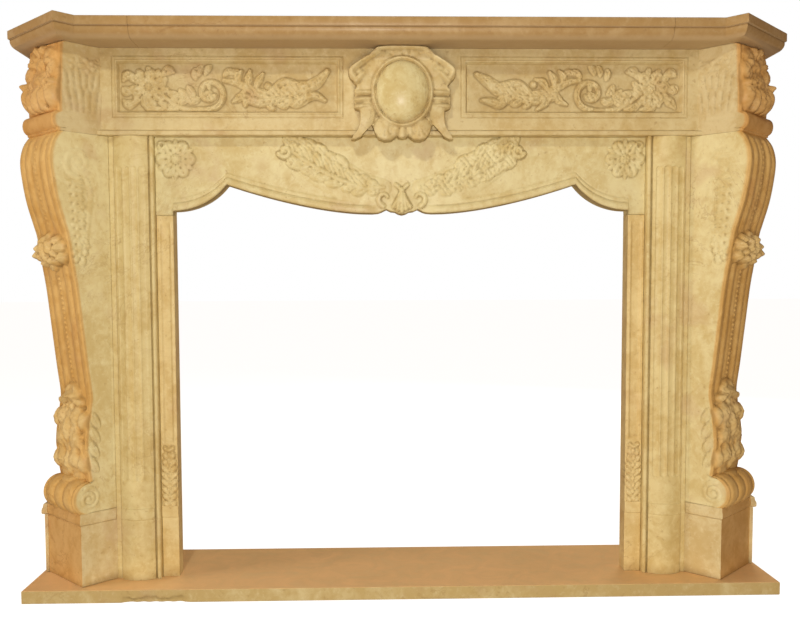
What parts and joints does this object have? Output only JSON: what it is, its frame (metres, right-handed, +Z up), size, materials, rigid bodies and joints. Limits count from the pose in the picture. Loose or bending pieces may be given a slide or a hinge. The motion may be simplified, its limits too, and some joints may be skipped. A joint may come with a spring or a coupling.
{
  "type": "fireplace mantel",
  "caption": "Carved cream marble fireplace mantel with canted scroll consoles, a scrolled frieze with an oval cartouche, a serpentine apron and a moulded shelf on a hearth slab.",
  "frame": {"origin": "on the floor under the middle of the mantel, halfway between the shelf's nose and the wall plane", "axes": "+X along the shelf to the viewer's right, +Y back to the wall, +Z up; the front faces -Y"},
  "size_m": [1.7998, 0.36, 1.3],
  "materials": {
    "marble": "honed golden cream marble with rusty veins",
    "marble_shelf": "honed golden marble, a little darker and more veined",
    "marble_hearth": "honed golden marble with dust and a chipped front edge"
  },
  "bodies": {
    "root": {"hearth_slab": "marble_hearth", "plinth_left": "marble", "plinth_right": "marble", "console_left": "marble", "console_right": "marble", "bracket_left": "marble", "bracket_right": "marble", "pilaster_left": "marble", "pilaster_right": "marble", "slip_left": "marble", "slip_right": "marble", "apron": "marble", "frieze": "marble", "shelf_centre": "marble_shelf", "shelf_left": "marble_shelf", "shelf_right": "marble_shelf", "side_slab_left": "marble", "side_slab_right": "marble"}
  },
  "joints": []
}
